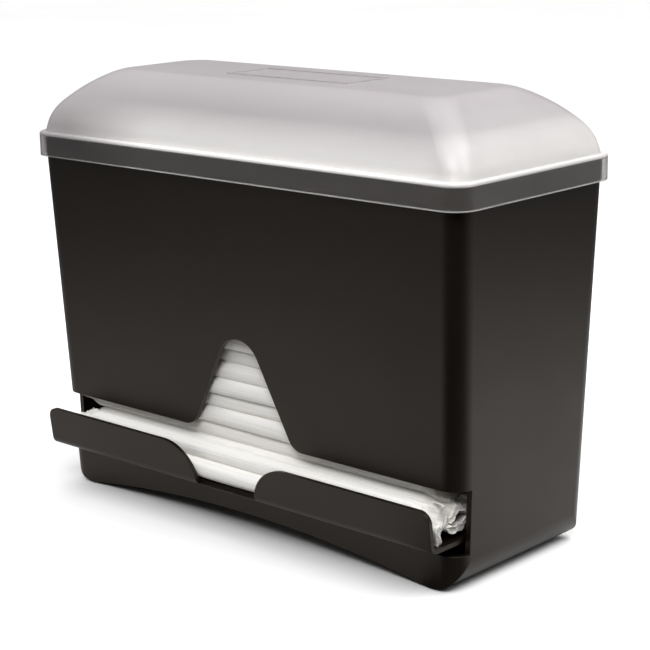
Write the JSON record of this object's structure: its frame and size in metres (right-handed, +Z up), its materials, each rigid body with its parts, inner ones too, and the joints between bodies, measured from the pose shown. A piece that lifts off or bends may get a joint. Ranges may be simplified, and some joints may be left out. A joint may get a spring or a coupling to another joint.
{
  "type": "straw dispenser",
  "caption": "Countertop dispenser for paper-wrapped straws: tapered open-top tub with a front slot and notch, a sprung two-lobed trough pressed as a lever, and a domed lift-off lid.",
  "frame": {"origin": "on the standing plane, under the middle of the tub's plan", "axes": "+X to the right along the straws, +Y to the back, +Z up; the lever lip faces -Y"},
  "size_m": [0.254, 0.1118, 0.1985],
  "materials": {
    "body_plastic": "satin moulded",
    "inner_plastic": "satin moulded",
    "frosted": "frosted translucent",
    "steel": "plain",
    "rubber": "matt",
    "paper": "thin wrapping paper"
  },
  "bodies": {
    "tub": {"housing": "body_plastic", "bracket_left": "inner_plastic", "bracket_right": "inner_plastic", "axle": "steel", "axle_clips": "steel", "bracket_screws": "steel", "ramp_screws": "steel", "hopper_ramp": "inner_plastic", "spring_left": "steel", "spring_right": "steel", "stop_pad_left": "rubber", "stop_pad_right": "rubber", "foot_front_left": "rubber", "foot_front_right": "rubber", "foot_back_left": "rubber", "foot_back_right": "rubber", "straws_hopper": "paper"},
    "lever": {"lever_tray": "body_plastic", "agitator_bar": "inner_plastic", "straws_tray": "paper"},
    "lid": {"lid": "frosted"}
  },
  "joints": [
    {"name": "lever_press", "type": "hinge", "parent": "tub", "child": "lever", "pos_m": [0, -0.012, 0.017], "axis": [1, 0, 0], "range_deg": [0, 7], "stiffness_Nm_per_rad": 0.6, "springref_deg": -11.46, "deforming": ["spring_left", "spring_right"]},
    {"name": "lid_lift", "type": "slide", "parent": "tub", "child": "lid", "axis": [0, 0, 1], "range_m": [0, 0.06]}
  ]
}
